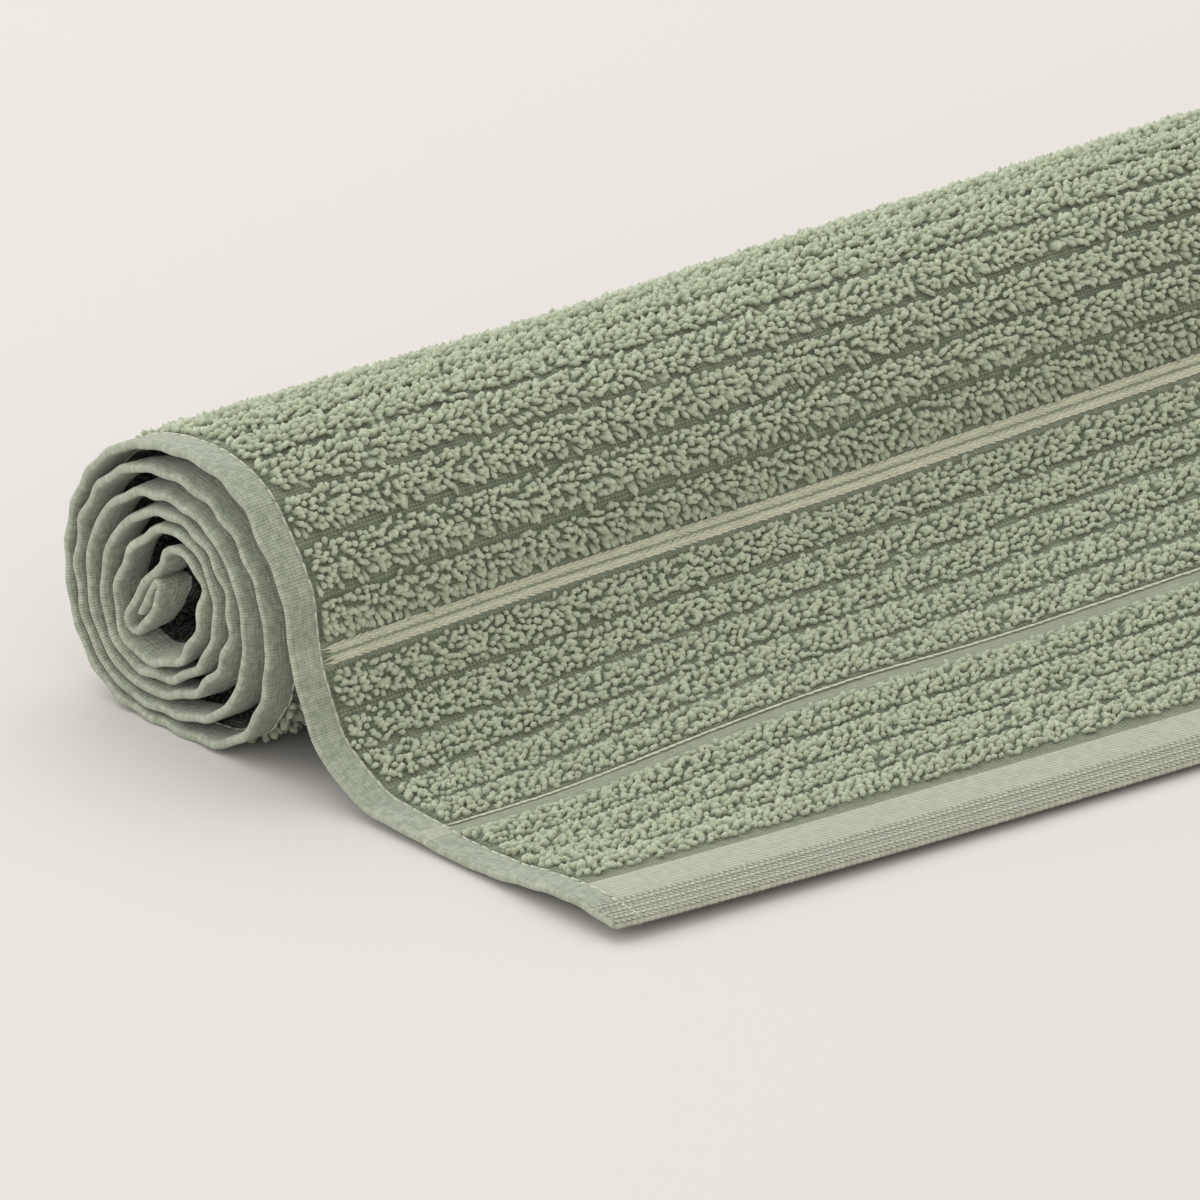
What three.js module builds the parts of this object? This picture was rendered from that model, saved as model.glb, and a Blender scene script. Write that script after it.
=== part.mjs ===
// A rolled terry towel, in millimetres, with +Z up and the surface that it rests on at z = 0.
// It is one cloth, wound in five turns about an axis along Y, with its loose end laid out along +X.
// The cloth is woven in raised pile ribs that run along Y, between two flat side hems.

import * as THREE from "three";

const towelWidth = 500; // from side hem to side hem, along the roll
const clothThickness = 1.9; // of the hems, the end borders and the ground between two ribs
const ribPitch = 8.5; // in the middle of the cloth
const ribShoulder = 0.16; // share of the pitch from the middle of a groove to the top of the rib
const openPileHeight = 1.0; // the pile stands free on the roll's outside and on the loose end
const pressedPileHeight = 0.4; // between two turns, and under the loose end
const sideHemWidth = 6.0;
const pileEdge = 9.0; // from the cloth's side edge to full pile
const axisHeight = 25.9; // of the roll's axis above the surface
const sageGreen = 0x9aa38b;

// The woven pattern, from either end of the cloth inwards; the ribs of its middle fill the rest.
const endPattern = [
  { band: "end border", width: 17 },
  { band: "ribs", count: 4, pitch: 7.9 },
  { band: "thin stripe", width: 3.4 },
  { band: "ribs", count: 5, pitch: 8.3 },
  { band: "double stripe", width: 4.4 },
];

// Radius of the cloth's middle in each turn, every 45 degrees from +X, outermost turn first.
// The flat hems crowd together on the left and leave gaps on the right.
const hemTurns = [
  {
    right: 32.5, upRight: 30.5, top: 25.8, upLeft: 25.8,
    left: 27.3, lowLeft: 28.6, low: 25.0, lowRight: 28.8,
  },
  {
    right: 26.8, upRight: 23.5, top: 21.0, upLeft: 22.3,
    left: 24.6, lowLeft: 25.9, low: 22.6, lowRight: 23.0,
  },
  {
    right: 20.6, upRight: 18.3, top: 16.5, upLeft: 17.9,
    left: 21.2, lowLeft: 23.1, low: 19.5, lowRight: 17.1,
  },
  {
    right: 17.0, upRight: 15.1, top: 13.6, upLeft: 13.7,
    left: 16.9, lowLeft: 20.1, low: 16.5, lowRight: 13.8,
  },
  {
    right: 13.0, upRight: 12.4, top: 10.9, upLeft: 9.7,
    left: 12.3, lowLeft: 17.3, low: 13.8, lowRight: 9.8,
  },
];
const pileTurns = [
  {
    right: 32.5, upRight: 30.3, top: 25.3, upLeft: 25.1,
    left: 26.5, lowLeft: 28.2, low: 25.0, lowRight: 28.0,
  },
  {
    right: 27.8, upRight: 25.4, top: 21.6, upLeft: 21.8,
    left: 23.2, lowLeft: 24.8, low: 21.5, lowRight: 23.3,
  },
  {
    right: 23.2, upRight: 21.1, top: 18.0, upLeft: 18.4,
    left: 19.8, lowLeft: 21.4, low: 18.1, lowRight: 19.1,
  },
  {
    right: 18.9, upRight: 17.1, top: 14.5, upLeft: 15.0,
    left: 16.4, lowLeft: 18.0, low: 14.8, lowRight: 15.1,
  },
  {
    right: 14.8, upRight: 13.4, top: 11.1, upLeft: 11.5,
    left: 13.1, lowLeft: 14.8, low: 11.5, lowRight: 11.3,
  },
];

// The innermost end is folded back on itself like a hairpin. Points are from the roll's axis.
const core = [
  { hemX: 8.9, hemZ: 0.0, pileX: 10.3, pileZ: 0.0 },
  { hemX: 9.9, hemZ: 3.4, pileX: 9.9, pileZ: 3.2 },
  { hemX: 8.0, hemZ: 6.0, pileX: 7.7, pileZ: 6.1 },
  { hemX: 5.0, hemZ: 7.6, pileX: 4.6, pileZ: 7.2 },
  { hemX: 2.0, hemZ: 8.0, pileX: 1.6, pileZ: 7.0 },
  { hemX: -0.1, hemZ: 6.8, pileX: -0.6, pileZ: 5.5 },
  { hemX: -1.2, hemZ: 4.4, pileX: -2.0, pileZ: 3.4 },
  { hemX: -4.4, hemZ: 1.2, pileX: -4.4, pileZ: 0.7 },
  { hemX: -7.6, hemZ: -2.6, pileX: -6.7, pileZ: -2.3 },
  { hemX: -9.9, hemZ: -6.2, pileX: -8.5, pileZ: -4.9 },
  { hemX: -10.9, hemZ: -8.7, pileX: -9.3, pileZ: -6.9 },
  { hemX: -10.2, hemZ: -10.5, pileX: -8.3, pileZ: -8.4 },
  { hemX: -7.8, hemZ: -10.3, pileX: -5.9, pileZ: -7.8 },
  { hemX: -5.4, hemZ: -7.2, pileX: -3.9, pileZ: -5.2 },
  { hemX: -3.2, hemZ: -3.5, pileX: -2.0, pileZ: -2.5 },
  { hemX: -0.8, hemZ: 0.4, pileX: 0.2, pileZ: 0.3 },
];

// The loose end, from its edge up the roll's right side, as distance out from the axis and height
// above the surface. At the hems it drops and lies flat; midway it spans from roll to surface.
const looseEnd = [
  { hemX: 118.6, hemZ: 2.9, midX: 126.4, midZ: 1.0 },
  { hemX: 107.0, hemZ: 4.1, midX: 115.2, midZ: 2.2 },
  { hemX: 95.6, hemZ: 3.1, midX: 104.5, midZ: 3.9 },
  { hemX: 87.8, hemZ: 2.0, midX: 97.0, midZ: 5.4 },
  { hemX: 80.5, hemZ: 1.6, midX: 90.0, midZ: 7.2 },
  { hemX: 73.6, hemZ: 1.5, midX: 83.5, midZ: 8.9 },
  { hemX: 67.4, hemZ: 1.9, midX: 77.6, midZ: 10.4 },
  { hemX: 58.9, hemZ: 2.1, midX: 69.3, midZ: 12.8 },
  { hemX: 52.1, hemZ: 2.6, midX: 62.6, midZ: 14.8 },
  { hemX: 45.8, hemZ: 5.2, midX: 55.8, midZ: 16.8 },
  { hemX: 40.2, hemZ: 8.8, midX: 48.6, midZ: 19.2 },
  { hemX: 37.5, hemZ: 12.9, midX: 44.0, midZ: 20.8 },
  { hemX: 34.8, hemZ: 18.9, midX: 37.6, midZ: 23.7 },
  { hemX: 33.3, hemZ: 23.6, midX: 33.9, midZ: 27.4 },
  { hemX: 32.3, hemZ: 30.0, midX: 32.0, midZ: 33.4 },
  { hemX: 30.3, hemZ: 36.3, midX: 29.6, midZ: 38.8 },
];
const looseEndSway = 0.8; // how quickly the middle's shape takes over from the hem's, as a power

// Distances from the near side edge at which the cloth's shape is worked out.
const crossings = [0, sideHemWidth, pileEdge, 60, 130, towelWidth / 2, 370, 440];
crossings.push(towelWidth - pileEdge, towelWidth - sideHemWidth, towelWidth);

const stepsPerEighth = 12; // fine steps between two radii of a turn
const stepsPerRow = 6; // and between two rows of the loose end or of the core
const coreStep = 2.2; // the longest step along flat cloth in the core's tight folds
const borderStep = 8.5; // and elsewhere
const turnSides = ["right", "upRight", "top", "upLeft", "left", "lowLeft", "low", "lowRight"];

// A smooth value between b and c, on the curve through the four even steps a, b, c and d.
function smooth(a, b, c, d, t) {
  const bend = 2 * a - 5 * b + 4 * c - d;
  const twist = 3 * b - a - 3 * c + d;
  return b + 0.5 * t * (c - a + t * (bend + t * twist));
}

function smoothRow(rows, index, share, key) {
  const at = (step) => rows[Math.min(Math.max(index + step, 0), rows.length - 1)][key];
  return smooth(at(-1), at(0), at(1), at(2), share);
}

// The fine path of the whole cloth, from its loose edge to its inner end. Each place on it has the
// cloth's middle in two states: at the hems, and in the pile or midway along the loose end.
function wholePath() {
  const eighths = [];
  hemTurns.forEach((hemTurn, turn) => {
    turnSides.forEach((side) => eighths.push({ hem: hemTurn[side], body: pileTurns[turn][side] }));
  });
  eighths.push({ hem: core[0].hemX, body: core[0].pileX });

  const polar = (radius, eighth) => ({
    x: radius * Math.cos((eighth * Math.PI) / 4),
    z: axisHeight + radius * Math.sin((eighth * Math.PI) / 4),
  });
  const meeting = { hem: polar(eighths[1].hem, 1), body: polar(eighths[1].body, 1) };
  const endRows = looseEnd.concat([
    { hemX: meeting.hem.x, hemZ: meeting.hem.z, midX: meeting.body.x, midZ: meeting.body.z },
  ]);

  const path = [];
  for (let row = 0; row < endRows.length - 1; row += 1) {
    for (let step = 0; step < stepsPerRow; step += 1) {
      const value = (key) => smoothRow(endRows, row, step / stepsPerRow, key);
      path.push({
        zone: "loose end",
        hem: { x: value("hemX"), z: value("hemZ") },
        body: { x: value("midX"), z: value("midZ") },
      });
    }
  }
  for (let eighth = 1; eighth < eighths.length - 1; eighth += 1) {
    for (let step = 0; step < stepsPerEighth; step += 1) {
      const share = step / stepsPerEighth;
      path.push({
        zone: eighth < turnSides.length ? "outer turn" : "inner turns",
        hem: polar(smoothRow(eighths, eighth, share, "hem"), eighth + share),
        body: polar(smoothRow(eighths, eighth, share, "body"), eighth + share),
      });
    }
  }
  for (let row = 0; row < core.length - 1; row += 1) {
    for (let step = 0; step < stepsPerRow; step += 1) {
      const value = (key) => smoothRow(core, row, step / stepsPerRow, key);
      path.push({
        zone: "core",
        hem: { x: value("hemX"), z: axisHeight + value("hemZ") },
        body: { x: value("pileX"), z: axisHeight + value("pileZ") },
      });
    }
  }
  return path;
}

// Adds to each place on the path its distance along the cloth, as the mean of the two states.
function measure(path) {
  let along = 0;
  path.forEach((place, index) => {
    if (index > 0) {
      const before = path[index - 1];
      const hemStep = Math.hypot(place.hem.x - before.hem.x, place.hem.z - before.hem.z);
      const bodyStep = Math.hypot(place.body.x - before.body.x, place.body.z - before.body.z);
      along += (hemStep + bodyStep) / 2;
    }
    place.along = along;
  });
  return along;
}

// Places along the cloth where its thickness or its bend changes. Pile is 1 on a rib, else 0.
function patternStations(path, clothLength) {
  const bandWidth = (entry) => entry.width ?? entry.count * entry.pitch;
  const middleWidth = clothLength - 2 * endPattern.reduce((sum, entry) => sum + bandWidth(entry), 0);
  const middleCount = Math.round(middleWidth / ribPitch);
  const middle = { band: "ribs", count: middleCount, pitch: middleWidth / middleCount };
  const bands = [...endPattern, middle, ...endPattern.slice().reverse()];

  const stations = [{ along: 0, pile: 0 }];
  let along = 0;
  for (const entry of bands) {
    if (entry.band !== "ribs") {
      const isInCore = placeAt(path, along).zone === "core";
      const step = isInCore ? coreStep : borderStep;
      const steps = Math.ceil(entry.width / step);
      for (let count = 1; count < steps; count += 1) {
        stations.push({ along: along + (entry.width * count) / steps, pile: 0 });
      }
      along += entry.width;
      stations.push({ along, pile: 0 });
      continue;
    }
    for (let rib = 0; rib < entry.count; rib += 1) {
      const isInner = placeAt(path, along + entry.pitch / 2).zone === "inner turns";
      const crests = isInner ? [0.5] : [ribShoulder, 0.5, 1 - ribShoulder];
      for (const crest of crests) {
        stations.push({ along: along + entry.pitch * crest, pile: 1 });
      }
      along += entry.pitch;
      stations.push({ along, pile: 0 });
    }
  }
  return stations;
}

// The place on the path at a distance along the cloth.
function placeAt(path, along) {
  let index = 0;
  while (index < path.length - 2 && path[index + 1].along <= along) {
    index += 1;
  }
  const start = path[index];
  const end = path[index + 1];
  const share = Math.min((along - start.along) / (end.along - start.along), 1);
  const mix = (state) => ({
    x: THREE.MathUtils.lerp(start[state].x, end[state].x, share),
    z: THREE.MathUtils.lerp(start[state].z, end[state].z, share),
  });
  return { zone: start.zone, hem: mix("hem"), body: mix("body") };
}

// How much of the second state holds at a distance across the cloth: the loose end changes slowly
// along the roll, and the turns within the side hem and the first pile.
function bodyShare(zone, across) {
  const fromEdge = Math.min(across, towelWidth - across);
  if (zone === "loose end") {
    return Math.sin((Math.PI * fromEdge) / towelWidth) ** looseEndSway;
  }
  return THREE.MathUtils.clamp(fromEdge / pileEdge, 0, 1);
}

// The cloth's two faces on one crossing. Outer is away from the roll's axis.
function facesAt(stations, across) {
  const middle = stations.map((station) => {
    const share = bodyShare(station.zone, across);
    return new THREE.Vector2(
      THREE.MathUtils.lerp(station.hem.x, station.body.x, share),
      THREE.MathUtils.lerp(station.hem.z, station.body.z, share),
    );
  });
  const fromEdge = Math.min(across, towelWidth - across);
  const hasPile = fromEdge >= pileEdge ? 1 : 0;
  return stations.map((station, index) => {
    const before = middle[Math.max(index - 1, 0)];
    const after = middle[Math.min(index + 1, middle.length - 1)];
    const tangent = after.clone().sub(before).normalize();
    const outward = new THREE.Vector2(tangent.y, -tangent.x);
    const isOpen = station.zone === "loose end" || station.zone === "outer turn";
    const outerPile = station.pile * hasPile * (isOpen ? openPileHeight : pressedPileHeight);
    const innerPile = station.pile * hasPile * pressedPileHeight;
    const outer = middle[index].clone().addScaledVector(outward, clothThickness / 2 + outerPile);
    const inner = middle[index].clone().addScaledVector(outward, -clothThickness / 2 - innerPile);
    outer.y = Math.max(outer.y, 0);
    inner.y = Math.max(inner.y, 0);
    return { outer, inner };
  });
}

// One closed mesh: both faces over every crossing, then the four edges of the cloth.
function towelGeometry() {
  const path = wholePath();
  const clothLength = measure(path);
  const stations = patternStations(path, clothLength).map((station) => ({
    ...station,
    ...placeAt(path, station.along),
  }));
  const columns = crossings.map((across) => ({ across, faces: facesAt(stations, across) }));
  const facesOfAll = columns.flatMap((column) => column.faces);
  const allX = facesOfAll.flatMap((face) => [face.outer.x, face.inner.x]);
  const middleX = (Math.min(...allX) + Math.max(...allX)) / 2;

  const positions = [];
  for (const { across, faces } of columns) {
    for (const face of faces) {
      positions.push(face.outer.x - middleX, across - towelWidth / 2, face.outer.y);
      positions.push(face.inner.x - middleX, across - towelWidth / 2, face.inner.y);
    }
  }
  const corner = (column, station, side) => 2 * (column * stations.length + station) + side;
  const triangles = [];
  const quad = (a, b, c, d) => triangles.push(a, b, c, a, c, d);
  const lastColumn = columns.length - 1;
  const lastStation = stations.length - 1;
  for (let column = 0; column < lastColumn; column += 1) {
    for (let station = 0; station < lastStation; station += 1) {
      const ring = [
        [column, station],
        [column + 1, station],
        [column + 1, station + 1],
        [column, station + 1],
      ];
      const outer = ring.map(([c, s]) => corner(c, s, 0));
      const inner = ring.map(([c, s]) => corner(c, s, 1));
      quad(outer[0], outer[1], outer[2], outer[3]);
      quad(inner[3], inner[2], inner[1], inner[0]);
    }
    quad(
      corner(column, 0, 1),
      corner(column + 1, 0, 1),
      corner(column + 1, 0, 0),
      corner(column, 0, 0),
    );
    quad(
      corner(column, lastStation, 0),
      corner(column + 1, lastStation, 0),
      corner(column + 1, lastStation, 1),
      corner(column, lastStation, 1),
    );
  }
  for (let station = 0; station < lastStation; station += 1) {
    quad(
      corner(0, station, 0),
      corner(0, station + 1, 0),
      corner(0, station + 1, 1),
      corner(0, station, 1),
    );
    quad(
      corner(lastColumn, station, 1),
      corner(lastColumn, station + 1, 1),
      corner(lastColumn, station + 1, 0),
      corner(lastColumn, station, 0),
    );
  }

  const geometry = new THREE.BufferGeometry();
  geometry.setAttribute("position", new THREE.Float32BufferAttribute(positions, 3));
  geometry.setIndex(triangles);
  geometry.computeVertexNormals();
  return geometry;
}

const terry = new THREE.MeshStandardMaterial({ color: sageGreen, roughness: 0.95, metalness: 0 });
const towel = new THREE.Mesh(towelGeometry(), terry);
towel.name = "towel";

const rolledTowel = new THREE.Group();
rolledTowel.add(towel);

export default rolledTowel;
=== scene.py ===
import math

import bmesh
import bpy
import numpy as np
from mathutils import Matrix, Vector


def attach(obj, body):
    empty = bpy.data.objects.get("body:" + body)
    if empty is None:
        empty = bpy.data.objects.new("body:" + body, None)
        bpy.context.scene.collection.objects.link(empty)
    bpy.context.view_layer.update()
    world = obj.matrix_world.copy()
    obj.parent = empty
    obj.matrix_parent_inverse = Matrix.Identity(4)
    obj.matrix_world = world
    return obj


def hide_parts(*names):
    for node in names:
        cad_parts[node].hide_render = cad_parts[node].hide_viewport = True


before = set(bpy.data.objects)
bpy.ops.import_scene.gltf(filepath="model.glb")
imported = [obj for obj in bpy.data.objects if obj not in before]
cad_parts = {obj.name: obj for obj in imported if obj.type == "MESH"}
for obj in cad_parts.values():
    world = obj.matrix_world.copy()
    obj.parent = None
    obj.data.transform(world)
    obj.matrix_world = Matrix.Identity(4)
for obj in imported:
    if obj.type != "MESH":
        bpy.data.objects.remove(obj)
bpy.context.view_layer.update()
mm = 0.001

# The towel's flat cut and how it is wound, in millimetres, as in the part's source.
towel = {
    "width": 500.0,
    "ribPitch": 8.5,
    "axisX": -48.99,
    "axisHeight": 25.9,
    "pileEdge": 9.0,
    "looseEndSway": 0.8,
    "looseBlend": 14.0,
}

# The woven pattern from either end inwards.
endPattern = [
    {"band": "endBorder", "width": 17.0},
    {"band": "ribs", "count": 4, "pitch": 7.9},
    {"band": "thinStripe", "width": 3.4},
    {"band": "ribs", "count": 5, "pitch": 8.3},
    {"band": "doubleStripe", "width": 4.4},
]

# Radius of the cloth's middle every 45 degrees from +X, one row for each turn.
hemTurns = [
    [32.5, 30.5, 25.8, 25.8, 27.3, 28.6, 25.0, 28.8],
    [26.8, 23.5, 21.0, 22.3, 24.6, 25.9, 22.6, 23.0],
    [20.6, 18.3, 16.5, 17.9, 21.2, 23.1, 19.5, 17.1],
    [17.0, 15.1, 13.6, 13.7, 16.9, 20.1, 16.5, 13.8],
    [13.0, 12.4, 10.9, 9.7, 12.3, 17.3, 13.8, 9.8],
]
pileTurns = [
    [32.5, 30.3, 25.3, 25.1, 26.5, 28.2, 25.0, 28.0],
    [27.8, 25.4, 21.6, 21.8, 23.2, 24.8, 21.5, 23.3],
    [23.2, 21.1, 18.0, 18.4, 19.8, 21.4, 18.1, 19.1],
    [18.9, 17.1, 14.5, 15.0, 16.4, 18.0, 14.8, 15.1],
    [14.8, 13.4, 11.1, 11.5, 13.1, 14.8, 11.5, 11.3],
]

# The folded inner end, from the roll's axis: hem x, hem z, pile x, pile z.
coreRows = [
    [8.9, 0.0, 10.3, 0.0],
    [9.9, 3.4, 9.9, 3.2],
    [8.0, 6.0, 7.7, 6.1],
    [5.0, 7.6, 4.6, 7.2],
    [2.0, 8.0, 1.6, 7.0],
    [-0.1, 6.8, -0.6, 5.5],
    [-1.2, 4.4, -2.0, 3.4],
    [-4.4, 1.2, -4.4, 0.7],
    [-7.6, -2.6, -6.7, -2.3],
    [-9.9, -6.2, -8.5, -4.9],
    [-10.9, -8.7, -9.3, -6.9],
    [-10.2, -10.5, -8.3, -8.4],
    [-7.8, -10.3, -5.9, -7.8],
    [-5.4, -7.2, -3.9, -5.2],
    [-3.2, -3.5, -2.0, -2.5],
    [-0.8, 0.4, 0.2, 0.3],
]

# The very end, tucked back into that fold in place of its last row. The part's source leaves it out.
tuckRows = [
    [-1.9, -1.3, -0.7, -0.7],
    [-1.6, -0.2, -0.4, 0.1],
    [-2.3, 0.55, -1.1, 0.6],
    [-3.2, -0.1, -2.0, 0.0],
    [-4.6, -1.9, -3.3, -1.5],
    [-6.2, -4.5, -4.9, -3.6],
    [-7.6, -6.9, -6.2, -5.5],
]

# The loose end from its edge up the roll's side: hem x, hem z, middle x, middle z.
looseRows = [
    [118.6, 2.9, 126.4, 1.0],
    [107.0, 4.1, 115.2, 2.2],
    [95.6, 3.1, 104.5, 3.9],
    [87.8, 2.0, 97.0, 5.4],
    [80.5, 1.6, 90.0, 7.2],
    [73.6, 1.5, 83.5, 8.9],
    [67.4, 1.9, 77.6, 10.4],
    [58.9, 2.1, 69.3, 12.8],
    [52.1, 2.6, 62.6, 14.8],
    [45.8, 5.2, 55.8, 16.8],
    [40.2, 8.8, 48.6, 19.2],
    [37.5, 12.9, 44.0, 20.8],
    [34.8, 18.9, 37.6, 23.7],
    [33.3, 23.6, 33.9, 27.4],
    [32.3, 30.0, 32.0, 33.4],
    [30.3, 36.3, 29.6, 38.8],
]


def linearColor(red, green, blue):
    channels = [channel / 255 for channel in (red, green, blue)]
    return tuple(((c + 0.055) / 1.055) ** 2.4 if c > 0.04045 else c / 12.92 for c in channels) + (1.0,)


def smoothStep(start, end, value):
    share = np.clip((value - start) / (end - start), 0.0, 1.0)
    return share * share * (3 - 2 * share)


def smoothRows(rows, steps):
    # Catmull-Rom through the rows, with the first and last row held at the ends.
    rows = np.array(rows, float)
    held = np.vstack([rows[:1], rows, rows[-1:]])
    fine = []
    for index in range(len(rows) - 1):
        a, b, c, d = held[index:index + 4]
        for t in np.arange(steps) / steps:
            bend = 2 * a - 5 * b + 4 * c - d
            twist = 3 * b - a - 3 * c + d
            fine.append(b + 0.5 * t * (c - a + t * (bend + t * twist)))
    return np.array(fine)


def windCloth(innerRows):
    # One fine path for the whole cloth in its two states, and the distance along it.
    turns = np.stack([np.ravel(hemTurns), np.ravel(pileTurns)], axis=1)
    turns = np.vstack([turns, [coreRows[0][0], coreRows[0][2]]])
    eighthSteps = 20
    radii = smoothRows(turns, eighthSteps)
    angles = np.arange(len(radii)) / eighthSteps * math.pi / 4
    height = towel["axisHeight"]
    wound = np.stack([
        radii[:, 0] * np.cos(angles), height + radii[:, 0] * np.sin(angles),
        radii[:, 1] * np.cos(angles), height + radii[:, 1] * np.sin(angles),
    ], axis=1)
    loose = smoothRows(looseRows + [list(wound[eighthSteps])], 10)
    core = smoothRows(innerRows, 10) + [0.0, height, 0.0, height]
    points = np.vstack([loose, wound[eighthSteps:], core])
    steps = np.diff(points, axis=0)
    hemStep = np.hypot(steps[:, 0], steps[:, 1])
    bodyStep = np.hypot(steps[:, 2], steps[:, 3])
    along = np.concatenate([[0.0], np.cumsum((hemStep + bodyStep) / 2)])
    return {
        "points": points,
        "along": along,
        "length": along[-1],
        "rollStart": along[len(loose)],
        "turnEnd": along[len(loose) + 7 * eighthSteps],
    }


wound = windCloth(coreRows[:-1] + tuckRows)
clothLength = wound["length"]
patternLength = windCloth(coreRows)["length"]


def layPattern():
    # Every band of the woven pattern with its start and end along the cloth.
    def bandWidth(entry):
        return entry["width"] if "width" in entry else entry["count"] * entry["pitch"]
    middleWidth = patternLength - 2 * sum(bandWidth(entry) for entry in endPattern)
    middleCount = round(middleWidth / towel["ribPitch"])
    middle = {"band": "ribs", "count": middleCount, "pitch": middleWidth / middleCount}
    bands = []
    ribs = []
    start = 0.0
    for entry in endPattern + [middle] + endPattern[::-1]:
        if entry["band"] == "ribs":
            for rib in range(entry["count"]):
                ribs.append((start + rib * entry["pitch"], entry["pitch"]))
        bands.append({"band": entry["band"], "start": start, "end": start + bandWidth(entry)})
        start += bandWidth(entry)
    bands[-1]["end"] = clothLength
    return bands, np.array(ribs)


bands, ribs = layPattern()
print("stage: wound path", round(clothLength, 1), "mm and", len(ribs), "ribs")


# The roll sags a little here, and the loose end has slow swells and dips, as in the photograph.
sagging = {"across": 95.0, "reach": 45.0, "share": 0.02}
swells = [
    {"along": 50.0, "across": 88.0, "height": 1.3, "reach": 26.0},
    {"along": 50.0, "across": 30.0, "height": -1.2, "reach": 22.0},
]
looseWaves = {
    "height": 0.15,
    "fromSide": 60.0,
    "acrossLengths": (37.0, 23.0),
    "alongLengths": (61.0, 29.0),
    "start": 2.0,
    "endPastRoll": 20.0,
    "fullBeforeRoll": 30.0,
}


def sideDistance(across):
    return np.minimum(across, towel["width"] - across)


def slowRise(along, across, fromSide):
    # The loose end's slow unevenness, and the swells that show in the photograph.
    s = looseWaves
    rollStart = wound["rollStart"]
    isLoose = smoothStep(rollStart + s["endPastRoll"], rollStart - s["fullBeforeRoll"], along)
    firstWave = np.sin(across / s["acrossLengths"][0] + along / s["alongLengths"][0])
    secondWave = np.sin(across / s["acrossLengths"][1] - along / s["alongLengths"][1] + s["start"])
    rise = s["height"] * (firstWave + secondWave) * smoothStep(0.0, s["fromSide"], fromSide)
    for swell in swells:
        apart = np.hypot(along - swell["along"], across - swell["across"]) / swell["reach"]
        rise = rise + swell["height"] * np.exp(-apart * apart)
    return rise * isLoose


def middlePoint(along, across):
    # A point in the middle of the cloth's thickness, from its place in the flat cloth.
    inside = np.clip(along, 0.0, clothLength)
    state = [np.interp(inside, wound["along"], wound["points"][:, k]) for k in range(4)]
    fromSide = np.clip(sideDistance(across), 0.0, None)
    slow = np.sin(np.pi * fromSide / towel["width"]) ** towel["looseEndSway"]
    quick = np.clip(fromSide / towel["pileEdge"], 0.0, 1.0)
    looseShare = smoothStep(wound["rollStart"], wound["rollStart"] - towel["looseBlend"], inside)
    share = quick + (slow - quick) * looseShare
    x = state[0] + (state[2] - state[0]) * share
    z = state[1] + (state[3] - state[1]) * share
    sag = np.exp(-(((across - sagging["across"]) / sagging["reach"]) ** 2))
    z = z * (1 - sagging["share"] * sag) + slowRise(inside, across, fromSide)
    return np.stack([x + towel["axisX"], across - towel["width"] / 2, z], axis=-1)


def clothFrame(along, across):
    # The middle point, the outward normal, and the directions along and across the cloth.
    step = 0.9
    middle = middlePoint(along, across)
    low = np.clip(along - step, 0.0, clothLength)
    high = np.clip(along + step, 0.0, clothLength)
    alongWay = middlePoint(high, across) - middlePoint(low, across)
    acrossWay = middlePoint(along, across + step) - middlePoint(along, across - step)
    outward = np.cross(acrossWay, alongWay)
    for way in (alongWay, acrossWay, outward):
        way /= np.linalg.norm(way, axis=-1, keepdims=True)
    return middle, outward, alongWay, acrossWay


# Half thicknesses and distances in millimetres. A cover is the share of a rib's pitch that the
# roots of its pile take, and a mound is the rise of the cloth under them.
clothSettings = {
    "hemHalf": 0.84,
    "borderHalf": 0.8,
    "groundHalf": 0.42,
    "hemWidth": 6.0,
    "hemFade": 0.7,
    "cellsTo": 7.0,
    "satinTo": 15.0,
    "satinFade": 1.0,
    "looseCover": 0.75,
    "rollCover": 0.66,
    "coverFade": 50.0,
    "openMound": 0.45,
    "pressedMound": 0.8,
    "moundSpread": 0.14,
    "moundFlatness": 3,
    "moundShoulder": 0.6,
    "moundFrom": 0.6,
    "moundFull": 2.2,
    "turnFade": 6.0,
    "rimRadius": 0.75,
}

# The hems' ripples are higher inside the roll, and their rims also shift in and out.
hemRipples = {
    "height": 0.38,
    "looseShare": 0.3,
    "reach": 12.0,
    "fullFrom": 1.0,
    "insideFrom": 10.0,
    "drift": 1.4,
    "driftLength": 23.0,
    "swell": 0.35,
    "swellLength": 13.7,
    "swellStart": 0.8,
    "rimShift": 0.5,
    "rimRest": 0.8,
    "rimStart": 0.9,
    "rimDrift": 2.0,
    "rimDriftLength": 31.0,
    "rimReach": 5.0,
    "looseInset": 0.5,
    "looseFade": 40.0,
}


def ribPosition(along):
    # From -1 to 1 over each rib's pitch, and 9 where there is no rib.
    index = np.clip(np.searchsorted(ribs[:, 0], along, side="right") - 1, 0, len(ribs) - 1)
    inRib = (along - ribs[index, 0]) / ribs[index, 1]
    return np.where((inRib >= 0) & (inRib <= 1), inRib * 2 - 1, 9.0)


def rollShare(along):
    # From 0 on the loose end to 1 on the roll.
    return smoothStep(wound["rollStart"] - clothSettings["coverFade"], wound["rollStart"], along)


def ribCover(along):
    s = clothSettings
    return s["looseCover"] + (s["rollCover"] - s["looseCover"]) * rollShare(along)


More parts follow.
